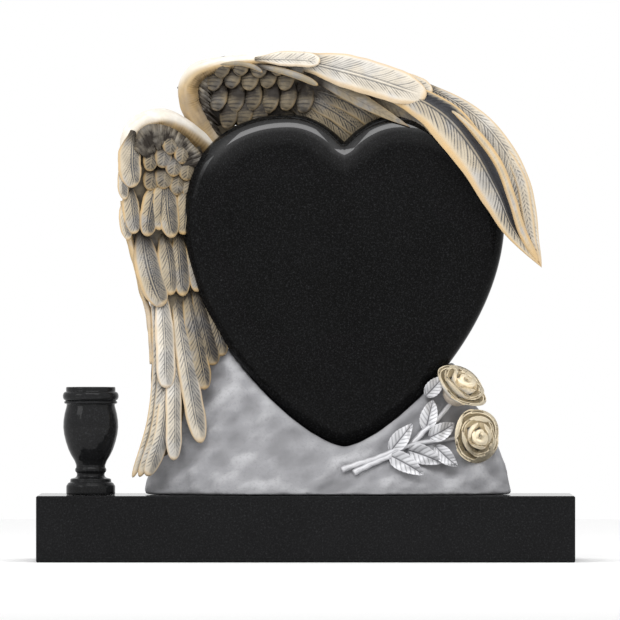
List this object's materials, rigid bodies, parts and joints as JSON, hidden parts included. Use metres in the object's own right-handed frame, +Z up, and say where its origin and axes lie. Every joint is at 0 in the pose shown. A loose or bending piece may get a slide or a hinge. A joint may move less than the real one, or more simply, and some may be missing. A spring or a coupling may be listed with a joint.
{
  "type": "heart headstone",
  "caption": "Black granite heart in a pale rock on a granite base, wrapped by cast wings, with a rose spray and a turned flower vase.",
  "frame": {"origin": "middle of the base's underside", "axes": "+Z up, +X to the viewer's right seen from the front, front towards -Y"},
  "size_m": [0.9, 0.32, 0.8571],
  "materials": {
    "black_granite": "mirror polished black granite with a very fine grey speckle",
    "grey_stone": "pale grey stone, softly lumpy, dressed by hand",
    "cream_gold": "cast and painted, cream and tan on the rims with slate grey in the recesses",
    "silver_cream": "cast and painted, silver white leaves and stems, cream roses shaded brown in the folds"
  },
  "bodies": {
    "root": {"base": "black_granite", "heart": "black_granite", "vase": "black_granite", "rock": "grey_stone", "wing_left": "cream_gold", "wing_right": "cream_gold", "rose_spray": "silver_cream"}
  },
  "joints": []
}
